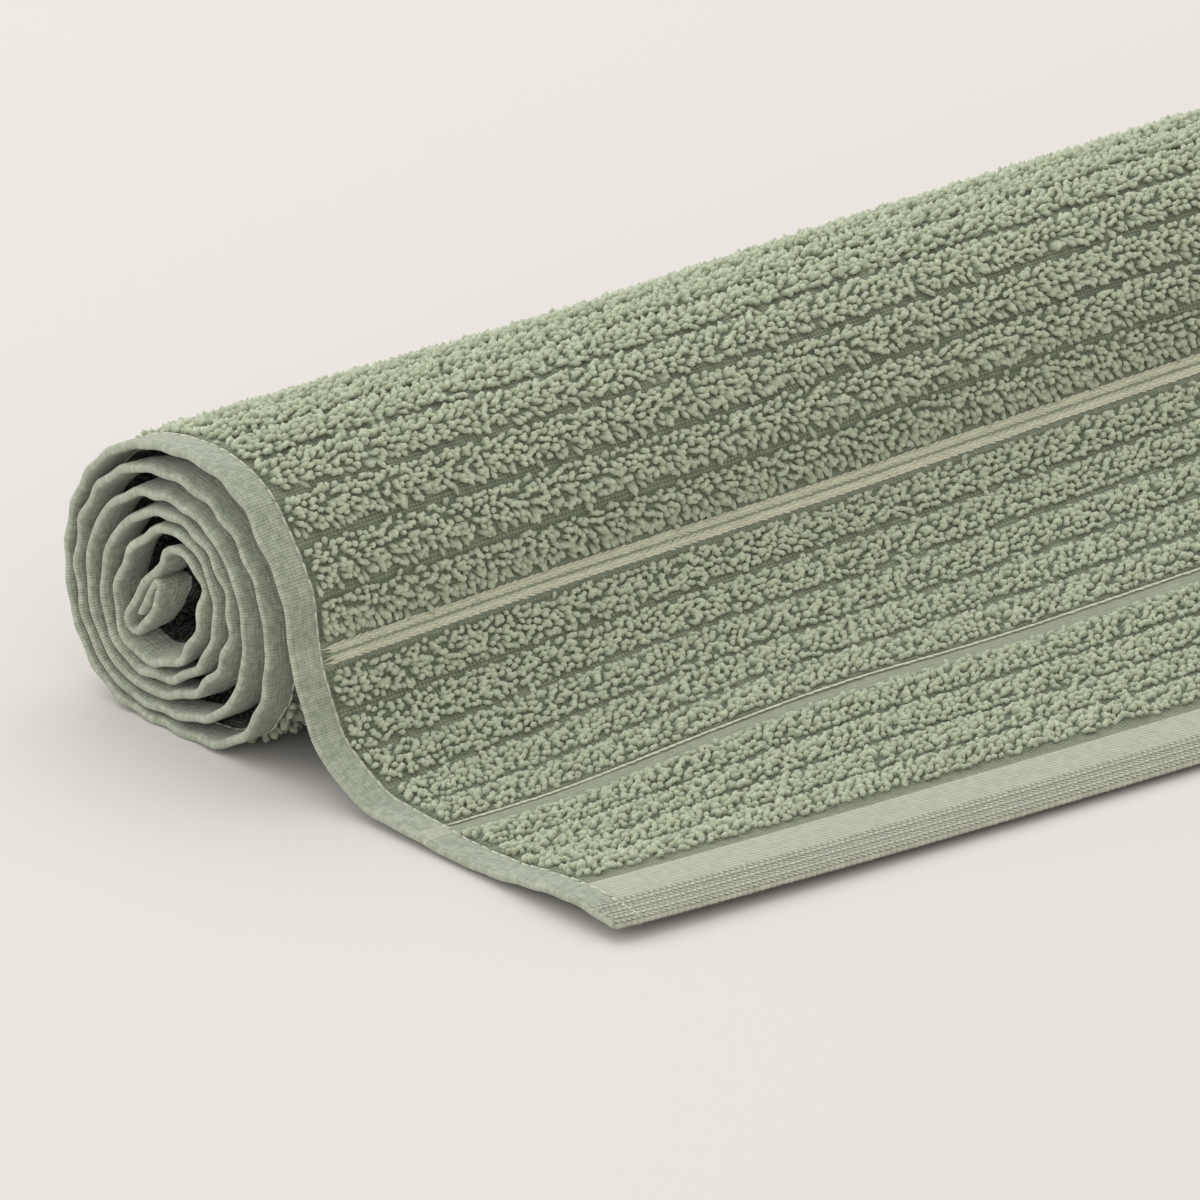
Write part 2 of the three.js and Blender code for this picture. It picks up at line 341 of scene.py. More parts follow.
def halfThickness(along, across, isOuter):
    s = clothSettings
    hem = s["hemWidth"]
    fromSide = sideDistance(across)
    fromEnd = np.minimum(along, clothLength - along)
    isBorder = smoothStep(s["satinTo"] + s["satinFade"], s["satinTo"], fromEnd)
    flat = s["groundHalf"] + (s["borderHalf"] - s["groundHalf"]) * isBorder
    flat = flat + (s["hemHalf"] - flat) * smoothStep(hem + s["hemFade"], hem, fromSide)
    place = np.abs(ribPosition(along)) / (ribCover(along) + s["moundSpread"])
    mound = np.clip(1 - place ** s["moundFlatness"], 0.0, 1.0) ** s["moundShoulder"]
    turnEnd = wound["turnEnd"]
    openShare = smoothStep(turnEnd + s["turnFade"], turnEnd - s["turnFade"], along) if isOuter else 0.0
    height = s["pressedMound"] + (s["openMound"] - s["pressedMound"]) * openShare
    half = flat + mound * height * smoothStep(hem + s["moundFrom"], hem + s["moundFull"], fromSide)
    for distance in (fromSide, fromEnd):
        rim = 1 - np.clip(distance / s["rimRadius"], 0.0, 1.0)
        half = half * np.sqrt(np.clip(1 - rim * rim, 0.0, 1.0))
    return half


def clothPoint(along, across, isOuter):
    # A point on one face of the cloth, with the hems' ripples.
    s = hemRipples
    rollStart = wound["rollStart"]
    middle, outward, alongWay, acrossWay = clothFrame(along, across)
    side = 1.0 if isOuter else -1.0
    fromSide = sideDistance(across)
    ribTurn = along * 2 * np.pi / towel["ribPitch"]
    wave = np.sin(ribTurn + s["drift"] * np.sin(along / s["driftLength"]))
    wave = wave * (1 - s["swell"] + s["swell"] * np.sin(along / s["swellLength"] + s["swellStart"]))
    isInside = smoothStep(rollStart + s["insideFrom"], wound["turnEnd"], along)
    nearHem = smoothStep(s["reach"], s["fullFrom"], fromSide)
    ripple = s["height"] * nearHem * wave * (s["looseShare"] + (1 - s["looseShare"]) * isInside)
    point = middle + outward * (side * halfThickness(along, across, isOuter) + ripple)[..., None]
    inward = np.where(across < towel["width"] / 2, 1.0, -1.0)
    drift = s["rimDrift"] * np.sin(along / s["rimDriftLength"])
    shift = 0.5 + 0.5 * np.sin(ribTurn + s["rimStart"] + drift)
    isLoose = smoothStep(rollStart, rollStart - s["looseFade"], along)
    rimShift = s["rimShift"] * (shift - s["rimRest"]) * (1 - isLoose) + s["looseInset"] * isLoose
    point[..., 1] += inward * rimShift * smoothStep(s["rimReach"], 0.0, fromSide)
    point[..., 2] = np.maximum(point[..., 2], 0.0)
    return point


# Where the cloth's mesh has its rows: millimetres from an end or a side, and shares of a rib.
meshRows = {
    "fromEnd": (0.0, 0.07, 0.26, 0.55),
    "bandStep": 1.3,
    "openRib": (0.0, 0.09, 0.2, 0.35, 0.5, 0.65, 0.8, 0.91),
    "innerRib": (0.0, 0.15, 0.32, 0.5, 0.68, 0.85),
    "fromSide": (0.0, 0.06, 0.2, 0.45, 0.75, 1.6, 2.8, 4.0, 5.1, 6.0, 6.3, 6.7, 7.4, 8.6, 11.5),
    "acrossMiddle": 30,
}


def alongStations():
    s = meshRows
    stations = list(s["fromEnd"])
    for band in bands:
        if band["band"] != "ribs":
            count = max(round((band["end"] - band["start"]) / s["bandStep"]), 2)
            stations += list(np.linspace(band["start"], band["end"], count, endpoint=False))
    for start, pitch in ribs:
        shares = s["openRib"] if start < wound["turnEnd"] else s["innerRib"]
        stations += [start + pitch * share for share in shares]
    stations += [clothLength - gap for gap in s["fromEnd"]]
    return np.unique(np.round(stations, 4))


def acrossStations():
    width = towel["width"]
    nearSide = list(meshRows["fromSide"])
    middle = np.linspace(nearSide[-1], width - nearSide[-1], meshRows["acrossMiddle"])
    return np.array(nearSide + list(middle[1:-1]) + [width - gap for gap in nearSide[::-1]])


def clothFinish(along, across):
    # Which of the cloth's finishes covers a place. The pile's floor is painted shade, darker for the
    # shade that its close loops cast, and the inside of the roll gets darker painted shade still.
    s = clothSettings
    fromEnd = min(along, clothLength - along)
    band = next(entry["band"] for entry in bands if along <= entry["end"] + 0.01)
    if sideDistance(across) < s["hemWidth"]:
        return "stripedHem" if band in ("thinStripe", "doubleStripe") else "sideHem"
    # Inside the roll the cloth is painted nearly black, painted shade for the deep hollow.
    if along > wound["turnEnd"]:
        return "shadedRollInside"
    # Under a rib's pile the cloth gets painted shade.
    if abs(ribPosition(along)) < ribCover(along) + 0.05:
        return "shadedPileFloor"
    if band == "endBorder" and fromEnd < s["cellsTo"]:
        return "borderGround"
    if band == "endBorder" and fromEnd < s["satinTo"]:
        return "endBorder"
    return "pileGround" if band in ("ribs", "endBorder") else "plainBand"


def makeCloth(finishes):
    # Two grids, one for each face of the cloth, laid in place and joined round the rim.
    alongList = alongStations()
    acrossList = acrossStations()
    finishNumbers = {material.name: number for number, material in enumerate(finishes)}
    bm = bmesh.new()
    uvLayer = bm.loops.layers.uv.new("flatCloth")
    for isOuter in (True, False):
        before = set(bm.verts)
        bmesh.ops.create_grid(bm, x_segments=len(acrossList) - 1, y_segments=len(alongList) - 1, size=0.5)
        verts = [vert for vert in bm.verts if vert not in before]
        columns = np.array([round((vert.co.x + 0.5) * (len(acrossList) - 1)) for vert in verts])
        rows = np.array([round((vert.co.y + 0.5) * (len(alongList) - 1)) for vert in verts])
        flat = {vert: (acrossList[c], alongList[r]) for vert, c, r in zip(verts, columns, rows)}
        placed = clothPoint(alongList[rows], acrossList[columns], isOuter) * mm
        faces = {face for vert in verts for face in vert.link_faces}
        for face in faces:
            centreAcross = sum(flat[vert][0] for vert in face.verts) / 4
            centreAlong = sum(flat[vert][1] for vert in face.verts) / 4
            face.material_index = finishNumbers[clothFinish(centreAlong, centreAcross)]
            face.smooth = True
            for loop in face.loops:
                across, along = flat[loop.vert]
                loop[uvLayer].uv = (across * mm, along * mm)
        for vert, point in zip(verts, placed):
            vert.co = point
        if not isOuter:
            bmesh.ops.reverse_faces(bm, faces=list(faces))
    rim = [vert for vert in bm.verts if vert.is_boundary]
    bmesh.ops.remove_doubles(bm, verts=rim, dist=1e-6)
    mesh = bpy.data.meshes.new("towelCloth")
    bm.to_mesh(mesh)
    bm.free()
    for material in finishes:
        mesh.materials.append(material)
    cloth = bpy.data.objects.new("towelCloth", mesh)
    bpy.context.scene.collection.objects.link(cloth)
    return cloth


def newMaterial(name, base, roughness, sheen):
    material = bpy.data.materials.new(name)
    material.use_nodes = True
    shader = material.node_tree.nodes["Principled BSDF"]
    shader.inputs["Base Color"].default_value = base
    shader.inputs["Roughness"].default_value = roughness
    shader.inputs["Sheen Weight"].default_value = sheen
    shader.inputs["Sheen Roughness"].default_value = 0.5
    shader.inputs["Specular IOR Level"].default_value = 0.2
    return material, material.node_tree, shader


def addNode(tree, kind, **values):
    node = tree.nodes.new(kind)
    for name, value in values.items():
        setattr(node, name, value)
    return node


def mathNode(tree, operation, first, second=None):
    node = addNode(tree, "ShaderNodeMath", operation=operation)
    for socket, value in zip(node.inputs, (first, second)):
        if value is None:
            continue
        if isinstance(value, (int, float)):
            socket.default_value = value
        else:
            tree.links.new(value, socket)
    return node.outputs[0]


def addNoise(tree, coords, scale, detail=2.0):
    noise = addNode(tree, "ShaderNodeTexNoise")
    noise.inputs["Scale"].default_value = scale
    noise.inputs["Detail"].default_value = detail
    tree.links.new(coords, noise.inputs["Vector"])
    return noise


def objectCoords(tree):
    return addNode(tree, "ShaderNodeTexCoord").outputs["Object"]


def addRamp(tree, factor, low, high, lowAt=0.0, highAt=1.0):
    ramp = addNode(tree, "ShaderNodeValToRGB")
    for element, color, place in zip(ramp.color_ramp.elements, (low, high), (lowAt, highAt)):
        element.color = color
        element.position = place
    tree.links.new(factor, ramp.inputs["Fac"])
    return ramp.outputs["Color"]


def addBump(tree, shader, height, depth):
    bump = addNode(tree, "ShaderNodeBump")
    bump.inputs["Strength"].default_value = 1.0
    bump.inputs["Distance"].default_value = depth * mm
    tree.links.new(height, bump.inputs["Height"])
    tree.links.new(bump.outputs["Normal"], shader.inputs["Normal"])


# Dark and light tone of each finish, in 8-bit steps. The dark tone is painted shade: between threads on
# woven finishes, where it is also the low end of a random mottle, and at the root of yarns.
colors = {
    "hem": ((128, 135, 117), (182, 188, 170)),
    "stripedHem": ((142, 147, 128), (194, 197, 178)),
    "ground": ((88, 96, 75), (146, 153, 129)),
    # The floor tone is painted shade for the pile's floor, which its close loops shade.
    "floor": ((92, 99, 80), (124, 132, 110)),
    # The inside tone is painted shade for the roll's inside, deep in the hollow.
    "inside": ((18, 21, 15), (38, 42, 33)),
    # The inner yarn is painted shade, nearly black, for pile deep inside the roll.
    "shadedInnerYarn": ((10, 12, 8), (34, 38, 29)),
    "border": ((138, 140, 123), (184, 186, 168)),
    "borderCell": ((158, 160, 142), (198, 200, 182)),
    "borderGap": ((132, 135, 118), (172, 174, 157)),
    "band": ((124, 131, 110), (158, 165, 143)),
    "cream": ((172, 173, 148), (220, 219, 197)),
    "thread": ((160, 167, 148), (200, 204, 186)),
    "pile": ((142, 149, 127), (175, 182, 160)),
}

# Thread pitches across and along the cloth and the depth are in millimetres. Ridge share is that of
# the threads that run along the cloth. Thread shade share is how much painted shade between threads
# shows in the tone.
finishColumns = (
    "tone", "acrossPitch", "alongPitch", "ridgeShare", "slant", "lumps", "depth", "threadShadeShare",
)
finishRows = {
    "pileGround": ("ground", 0.78, 0.7, 0.5, 0.0, 0.0, 0.3, 0.5),
    "sideHem": ("hem", 0.8, 0.52, 0.35, 0.0, 0.45, 0.26, 0.5),
    "endBorder": ("border", 1.05, 0.8, 0.6, 0.75, 0.0, 0.14, 0.55),
    "stripedHem": ("stripedHem", 0.8, 0.52, 0.35, 0.0, 0.45, 0.26, 0.5),
    "plainBand": ("band", 0.5, 0.9, 0.6, 0.0, 0.0, 0.15, 0.4),
    # The pile's floor finish is painted shade.
    "shadedPileFloor": ("floor", 0.9, 0.9, 0.5, 0.0, 0.0, 0.3, 0.5),
    # The roll's inside is painted shade.
    "shadedRollInside": ("inside", 0.9, 0.9, 0.5, 0.0, 0.0, 0.3, 0.5),
    "borderGround": ("borderGap", 0.9, 0.7, 0.5, 0.0, 0.0, 0.2, 0.5),
}
weaveSettings = {
    "bendScale": 500.0,
    "bend": 0.5,
    "lumpScale": 900.0,
    "lumpRandomness": 0.65,
    "lumpSlope": 1.5,
    "mottleScale": 700.0,
    "mottleDetail": 4.0,
    "darkAt": 0.25,
    "lightAt": 0.8,
    "roughness": 0.9,
    "sheen": 0.25,
}


def threadRidges(tree, axisSocket, pitch):
    # Rounded ridges every pitch millimetres along one coordinate, from 0 to 1.
    turned = mathNode(tree, "MULTIPLY", axisSocket, math.pi / (pitch * mm))
    return mathNode(tree, "ABSOLUTE", mathNode(tree, "SINE", turned))


def weaveHeight(tree, finish):
    # A woven relief that follows the flat cloth: ridges one way, crossed by ridges the other way.
    # Slow noise bends the threads a little, so that no two of them run quite alike. A slant turns
    # the ridges, and lumps are small and rounded, as of knitted cloth.
    s = weaveSettings
    coords = addNode(tree, "ShaderNodeUVMap", uv_map="flatCloth").outputs["UV"]
    noise = addNoise(tree, coords, s["bendScale"])
    bend = addNode(tree, "ShaderNodeVectorMath", operation="MULTIPLY_ADD")
    bend.inputs[1].default_value = (s["bend"] * mm, s["bend"] * mm, 0.0)
    tree.links.new(noise.outputs["Color"], bend.inputs[0])
    tree.links.new(coords, bend.inputs[2])
    split = addNode(tree, "ShaderNodeSeparateXYZ")
    tree.links.new(bend.outputs["Vector"], split.inputs[0])
    slide = mathNode(tree, "MULTIPLY", split.outputs["Y"], finish["slant"])
    slanted = mathNode(tree, "ADD", split.outputs["X"], slide)
    acrossRidges = threadRidges(tree, slanted, finish["acrossPitch"])
    alongRidges = threadRidges(tree, split.outputs["Y"], finish["alongPitch"])
    threads = 1 - finish["lumps"]
    first = mathNode(tree, "MULTIPLY", acrossRidges, finish["ridgeShare"] * threads)
    second = mathNode(tree, "MULTIPLY", alongRidges, (1 - finish["ridgeShare"]) * threads)
    woven = mathNode(tree, "ADD", first, second)
    if not finish["lumps"]:
        return woven
    lumps = addNode(tree, "ShaderNodeTexVoronoi", feature="F1")
    lumps.inputs["Scale"].default_value = s["lumpScale"]
    lumps.inputs["Randomness"].default_value = s["lumpRandomness"]
    tree.links.new(bend.outputs["Vector"], lumps.inputs["Vector"])
    fall = mathNode(tree, "MULTIPLY", lumps.outputs["Distance"], s["lumpSlope"])
    rounded = mathNode(tree, "SUBTRACT", 1.0, fall)
    return mathNode(tree, "ADD", woven, mathNode(tree, "MULTIPLY", rounded, finish["lumps"]))


def makeFinish(name, finish):
    # Cloth gets painted shade between its threads, with a soft mottle over several threads.
    s = weaveSettings
    dark, light = (linearColor(*tone) for tone in colors[finish["tone"]])
    material, tree, shader = newMaterial(name, light, s["roughness"], s["sheen"])
    height = weaveHeight(tree, finish)
    noise = addNoise(tree, objectCoords(tree), s["mottleScale"], s["mottleDetail"])
    woven = mathNode(tree, "MULTIPLY", height, finish["threadShadeShare"])
    mottled = mathNode(tree, "MULTIPLY", noise.outputs["Fac"], 1 - finish["threadShadeShare"])
    color = addRamp(tree, mathNode(tree, "ADD", woven, mottled), dark, light, s["darkAt"], s["lightAt"])
    tree.links.new(color, shader.inputs["Base Color"])
    addBump(tree, shader, height, finish["depth"])
    return material


# Fuzz is the depth of a yarn's fine relief, and glow is how far light soaks into it.
yarnColumns = ("tone", "fuzz", "glow")
yarnRows = {
    "pileYarn": ("pile", 0.2, 0.5),
    "creamYarn": ("cream", 0.12, 0.0),
    "greenYarn": ("band", 0.12, 0.0),
    "borderYarn": ("borderCell", 0.12, 0.0),
    # The inner yarn's tone is painted shade.
    "shadedInnerYarn": ("shadedInnerYarn", 0.2, 0.0),
    "hemThread": ("thread", 0.1, 0.0),
}
yarnSettings = {
    "roughness": 0.9,
    "sheen": 0.2,
    "glowRadius": (1.0, 1.0, 0.8),
    "glowDepth": 1.2,
    "tipColorAt": 0.8,
    "toneFloor": 0.925,
    "toneRange": 0.15,
    "fuzzScale": 3200.0,
}


def makeYarn(name, recipe):
    # Yarn gets painted shade towards its root, and each strand has its own tone, both kept in an
    # attribute.
    s = yarnSettings
    rootShadeColor, tipColor = (linearColor(*tone) for tone in colors[recipe["tone"]])
    material, tree, shader = newMaterial(name, tipColor, s["roughness"], s["sheen"])
    shader.subsurface_method = "BURLEY"
    shader.inputs["Subsurface Weight"].default_value = recipe["glow"]
    shader.inputs["Subsurface Radius"].default_value = s["glowRadius"]
    shader.inputs["Subsurface Scale"].default_value = s["glowDepth"] * mm
    yarn = addNode(tree, "ShaderNodeAttribute", attribute_name="yarn")
    split = addNode(tree, "ShaderNodeSeparateColor")
    tree.links.new(yarn.outputs["Color"], split.inputs[0])
    color = addRamp(tree, split.outputs["Red"], rootShadeColor, tipColor, highAt=s["tipColorAt"])
    ownTone = mathNode(tree, "MULTIPLY", split.outputs["Green"], s["toneRange"])
    level = mathNode(tree, "ADD", ownTone, s["toneFloor"])
    grey = addNode(tree, "ShaderNodeCombineColor")
    for socket in grey.inputs[:3]:
        tree.links.new(level, socket)
    toned = addNode(tree, "ShaderNodeMix", data_type="RGBA", blend_type="MULTIPLY")
    toned.inputs["Factor"].default_value = 1.0
    tree.links.new(color, toned.inputs["A"])
    tree.links.new(grey.outputs["Color"], toned.inputs["B"])
    tree.links.new(toned.outputs["Result"], shader.inputs["Base Color"])
    noise = addNoise(tree, objectCoords(tree), s["fuzzScale"])
    addBump(tree, shader, noise.outputs["Fac"], recipe["fuzz"])
    return material


strandSettings = {
    "rings": 3,
    "bluntness": 0.8,
    "rootWidth": 0.85,
    "tipGrowth": 0.42,
    "lowest": 0.02,
}


def makeStrandShape(sides):
    # One short yarn lobe along +Z from 0 to 1, open at its root, which lies in the cloth. It is
    # widest near its tip, which is blunt.
    s = strandSettings
    bm = bmesh.new()
    bmesh.ops.create_uvsphere(bm, u_segments=sides, v_segments=s["rings"], radius=1.0)
    lowest = min(bm.verts, key=lambda vert: vert.co.z)
    bmesh.ops.delete(bm, geom=[lowest], context="VERTS")
    bmesh.ops.triangulate(bm, faces=bm.faces)
    bm.verts.index_update()
    verts = np.array([vert.co[:] for vert in bm.verts])
    faces = np.array([[vert.index for vert in face.verts] for face in bm.faces])
    bm.free()
    low = verts[:, 2].min()
    verts[:, 2] = ((verts[:, 2] - low) / (1 - low)) ** s["bluntness"]
    verts[:, :2] *= s["rootWidth"] + s["tipGrowth"] * verts[:, 2:]
    return verts, faces


fineStrand = makeStrandShape(5)
plainStrand = makeStrandShape(4)


def unit(ways):
    return ways / np.linalg.norm(ways, axis=1, keepdims=True)


def spreadOf(rng, spread, shape):
    # Random factors round 1.
    return rng.uniform(1 - spread, 1 + spread, shape)


def joinStrands(name, strand, roots, lengthWay, widthWay, sizes, curls, tones, material):
    # One mesh of many strands. Sizes are width, thickness and length in millimetres.
    thickWay = np.cross(lengthWay, widthWay)
    shape, shapeFaces = strand
    points = roots[:, None, :] + (
        widthWay[:, None, :] * (shape[None, :, 0] * sizes[:, None, 0] / 2)[..., None]
        + thickWay[:, None, :] * (shape[None, :, 1] * sizes[:, None, 1] / 2)[..., None]
        + lengthWay[:, None, :] * (shape[None, :, 2] * sizes[:, None, 2])[..., None]
        + curls[:, None, :] * (shape[None, :, 2] ** 2)[..., None]
    )
    points[..., 2] = np.maximum(points[..., 2], strandSettings["lowest"])
    count = len(roots)
    faces = shapeFaces[None] + np.arange(count)[:, None, None] * len(shape)
    mesh = bpy.data.meshes.new(name)
    mesh.vertices.add(count * len(shape))
    mesh.vertices.foreach_set("co", (points * mm).astype(np.float32).ravel())
    mesh.loops.add(faces.size)
    mesh.loops.foreach_set("vertex_index", faces.astype(np.int32).ravel())
    mesh.polygons.add(faces.size // 3)
    mesh.polygons.foreach_set("loop_start", np.arange(0, faces.size, 3, dtype=np.int32))
    mesh.update(calc_edges=True)
    mesh.shade_smooth()
    # Red runs from root to tip for the painted shade at the root, and green is the strand's own tone.
    yarn = mesh.attributes.new("yarn", "FLOAT_COLOR", "POINT")
    values = np.ones((count, len(shape), 4), np.float32)
    values[:, :, 0] = shape[None, :, 2]
    values[:, :, 1] = tones[:, None]
    yarn.data.foreach_set("color", values.ravel())
    mesh.materials.append(material)
    piece = bpy.data.objects.new(name, mesh)
    bpy.context.scene.collection.objects.link(piece)
    return piece


# Each pair is the value on the loose end and the value round the roll. Angles are in degrees.
pileSettings = {
    "seed": 7,
    "rows": 6,
    "plainRows": 4,
    "fromSide": 7.2,
    "sideScatter": 1.3,
    "farSide": 7.4,
    "pastTurnEnd": 4.0,
    "shownTo": 60.0,
    "spacing": 1.16,
    "farSpacing": 2.25,
    "spacingSpread": 0.18,
    "scatter": 0.22,
    "width": 1.3,
    "thickness": 1.04,
    "widthSpread": 0.16,
    "farGrowth": 0.55,
    "length": (2.15, 2.2),
    "lowEdgeLength": (1.3, 2.5),
    "highEdgeLength": (1.1, 1.6),
    "lengthSpread": 0.18,
    "rootHeight": 0.3,
    "fan": (30.0, 42.0),
    "fanSpread": 13.0,
    "droop": (10.0, 18.0),
    "leanSpread": 20.0,
    "twist": 0.9,
    "acrossCurl": 0.35,
    "alongCurl": 0.3,
    "curlDown": -0.15,
    "farFrom": 225.0,
    "farFade": 45.0,
    "trianglesPerPiece": 180000,
}


def pilePlaces(rng):
    # Where each loop stands in the flat cloth: along, across, its place in the rib, and how far
    # it is in the half that is told plainly, where the loops are larger and wider apart.
    s = pileSettings
    found = []
    for start, pitch in ribs:
        if start > wound["turnEnd"] + s["pastTurnEnd"]:
            break
        centre = start + pitch / 2
        cover = float(ribCover(centre))
        isShown = centre < wound["rollStart"] + s["shownTo"]
        rows = s["rows"] if isShown else s["plainRows"]
        for row in range(rows):
            place = (row + 0.5) / rows * 2 - 1
            across = s["fromSide"] + rng.uniform(0, s["sideScatter"])
            while across < towel["width"] - s["farSide"]:
                far = smoothStep(s["farFrom"], s["farFrom"] + s["farFade"], across) if isShown else 1.0
                found.append((centre + place * cover * pitch / 2, across, place, far))
                spacing = s["spacing"] + (s["farSpacing"] - s["spacing"]) * far
                across += spacing * spreadOf(rng, s["spacingSpread"], None)
    return np.array(found, float)


def makePile(material):
    s = pileSettings
    rng = np.random.default_rng(s["seed"])
    places = pilePlaces(rng)
    count = len(places)
    along = places[:, 0] + rng.normal(0, s["scatter"], count)
    across, place, far = places[:, 1:].T
    middle, outward, alongWay, acrossWay = clothFrame(along, across)
    onRoll = rollShare(along)

    def blended(name):
        return s[name][0] + (s[name][1] - s[name][0]) * onRoll

    fan = place * blended("fan") - blended("droop") + rng.normal(0, s["fanSpread"], count)
    fan = np.radians(fan)[:, None]
    lean = np.radians(rng.normal(0, s["leanSpread"], count))[:, None]
    lengthWay = outward * np.cos(fan) + alongWay * np.sin(fan)
    lengthWay = unit(lengthWay * np.cos(lean) + acrossWay * np.sin(lean))
    widthWay = unit(acrossWay - lengthWay * np.sum(acrossWay * lengthWay, axis=1, keepdims=True))
    thickWay = np.cross(lengthWay, widthWay)
    twist = rng.uniform(-s["twist"], s["twist"], count)[:, None]
    widthWay = widthWay * np.cos(twist) + thickWay * np.sin(twist)
    grow = 1 + s["farGrowth"] * far
    edgeLength = np.where(place < 0, blended("lowEdgeLength"), blended("highEdgeLength"))
    length = blended("length")
    length = length + (edgeLength - length) * np.abs(place) ** 2
    sizes = np.stack([
        s["width"] * grow * spreadOf(rng, s["widthSpread"], count),
        s["thickness"] * grow * spreadOf(rng, s["widthSpread"], count),
        length * spreadOf(rng, s["lengthSpread"], count),
    ], axis=1)
    acrossCurl = rng.normal(0, s["acrossCurl"], count)[:, None]
    alongCurl = rng.normal(s["curlDown"], s["alongCurl"], count)[:, None]
    curls = acrossWay * acrossCurl + alongWay * alongCurl
    roots = middle + outward * s["rootHeight"]
    tones = rng.uniform(0, 1, count)
    pieces = []
    for name, strand, isFar in (("terryLoops", fineStrand, False), ("plainLoops", plainStrand, True)):
        order = np.flatnonzero((far >= 0.5) == isFar)
        order = order[np.argsort(across[order], kind="stable")]
        parts = math.ceil(len(order) * len(strand[1]) / s["trianglesPerPiece"])
        for number, part in enumerate(np.array_split(order, parts)):
            pieces.append(joinStrands(
                f"{name}{number + 1}", strand, roots[part], lengthWay[part], widthWay[part],
                sizes[part], curls[part], tones[part], material,
            ))
    print("stage: pile of", count, "loops in", len(pieces), "pieces")
    return pieces


innerSettings = {
    "seed": 21,
    "pitch": 1.75,
    "fromSide": 6.9,
    "rows": 5,
    "toEnd": 4.0,
    "size": (1.25, 1.0, 1.5),
    "sizeSpread": 0.2,
    "alongScatter": 0.35,
    "acrossScatter": 0.3,
    "tilt": 0.35,
    "rootHeight": 0.5,
}


def makeInnerPile(material):
    # Pile on both faces of the inner turns, as deep as one can look in from either side.
    s = innerSettings
    along, across, outer = [], [], []
    for row in range(s["rows"]):
        stations = np.arange(wound["turnEnd"], clothLength - s["toEnd"], s["pitch"])
        stations = stations + (row % 2) * s["pitch"] / 2
        place = s["fromSide"] + row * s["pitch"]
        for isOuter in (True, False):
            for isNear in (True, False):
                along.append(stations)
                across.append(np.full(len(stations), place if isNear else towel["width"] - place))
                outer.append(np.full(len(stations), isOuter))
    along, across, outer = (np.concatenate(part) for part in (along, across, outer))
    rng = np.random.default_rng(s["seed"])
    count = len(along)
    along = along + rng.normal(0, s["alongScatter"], count)
    across = across + rng.normal(0, s["acrossScatter"], count)
    middle, outward, alongWay, acrossWay = clothFrame(along, across)
    side = np.where(outer, 1.0, -1.0)[:, None]
    tilts = rng.normal(0, s["tilt"], (2, count))[..., None]
    lengthWay = unit(outward * side + alongWay * tilts[0] + acrossWay * tilts[1])
    widthWay = unit(np.cross(lengthWay, alongWay))
    sizes = np.array(s["size"])[None, :] * spreadOf(rng, s["sizeSpread"], (count, 3))
    roots = middle + outward * side * s["rootHeight"]
    print("stage: inner pile of", count, "loops")
    # The inner loops get the nearly black yarn, painted shade for pile that lies deep in the hollow.
    return joinStrands(
        "shadedInnerLoops", plainStrand, roots, lengthWay, widthWay, sizes,
        np.zeros((count, 3)), rng.uniform(0, 1, count), material,
    )


laidSettings = {
    "headingSpread": 3.0,
    "sizeSpread": 0.08,
    "tipDroop": 0.12,
}


def layStrands(name, along, across, heading, lift, size, material, seed, isOuter=True, rise=0.0):
    # Short yarns that lie on a face of the cloth. Heading is the angle from the across direction,
    # and rise is how far their tips are turned up, both in degrees.
    s = laidSettings
    rng = np.random.default_rng(seed)
    count = len(along)
    _, outward, alongWay, acrossWay = clothFrame(along, across)
    upward = outward if isOuter else -outward
    turn = np.radians(heading + rng.normal(0, s["headingSpread"], count))[:, None]
    flatWay = acrossWay * np.cos(turn) + alongWay * np.sin(turn)
    lengthWay = flatWay * np.cos(np.radians(rise)) + upward * np.sin(np.radians(rise))
    widthWay = unit(np.cross(upward, flatWay))
    sizes = np.array(size)[None, :] * spreadOf(rng, s["sizeSpread"], (count, 3))
    roots = clothPoint(along, across, isOuter) + upward * lift - flatWay * sizes[:, 2:] / 2
    curls = upward * -s["tipDroop"]
    tones = rng.uniform(0, 1, count)
    return joinStrands(name, plainStrand, roots, lengthWay, widthWay, sizes, curls, tones, material)


# Rows are millimetres from the double stripe's middle, or from the thin stripe's far side.
stripeSettings = {
    "seed": 11,
    "fromSide": 8.0,
    "spacing": 1.7,
    "stagger": 3,
    "creamRows": (-1.55, -1.2, -0.85, -0.5, 0.5, 0.85, 1.2, 1.55),
    "greenRows": (-0.15, 0.15),
    "thinRow": 0.45,
    "size": (0.44, 0.42, 3.6),
    "thinSize": (0.5, 0.42, 3.4),
    "lift": 0.25,
    "thinLift": 0.14,
    "skew": 9.0,
    "rise": 4.0,
}


